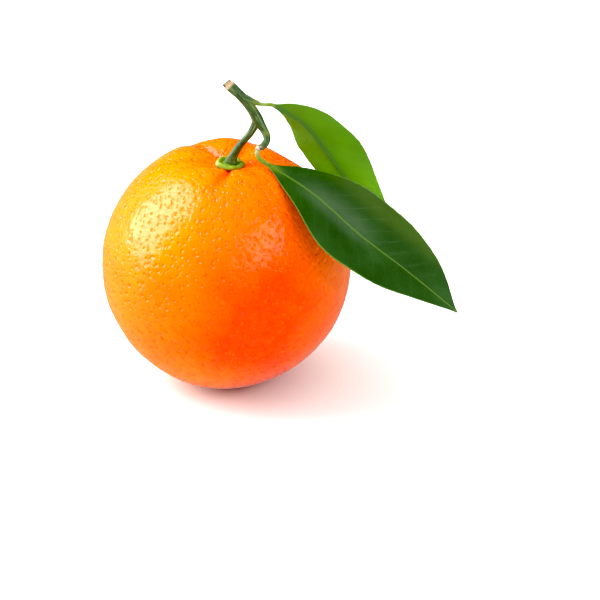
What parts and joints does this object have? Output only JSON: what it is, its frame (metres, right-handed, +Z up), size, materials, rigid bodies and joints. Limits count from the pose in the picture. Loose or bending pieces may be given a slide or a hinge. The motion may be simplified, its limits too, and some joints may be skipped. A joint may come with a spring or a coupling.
{
  "type": "orange",
  "caption": "Whole round orange as picked, standing on a small flat spot, with its calyx, forked woody twig and leaves on their stalks.",
  "frame": {"origin": "middle of the flat spot that the fruit rests on", "axes": "+Z up out of the surface it rests on, +X towards the side that the leaves hang over, +Y away from the side where the lower leaf comes forward"},
  "size_m": [0.1115, 0.08, 0.1003],
  "materials": {
    "rind": "waxy pebbled citrus rind with sunken oil pores, satin gloss",
    "calyx": "dry pale green, matt",
    "bark": "young grey-green bark, low sheen, tan where cut",
    "petiole_front": "smooth pale green stalk, low sheen",
    "petiole_back": "smooth yellow-green stalk, low sheen",
    "leaf_front": "dark green waxy upper leaf surface with a pale midrib",
    "leaf_back": "bright yellow-green leaf, translucent, matt underside"
  },
  "bodies": {
    "root": {"fruit": "rind", "calyx": "calyx", "twig": "bark", "petiole_front": "petiole_front", "petiole_back": "petiole_back", "leaf_front": "leaf_front", "leaf_back": "leaf_back"}
  },
  "joints": []
}
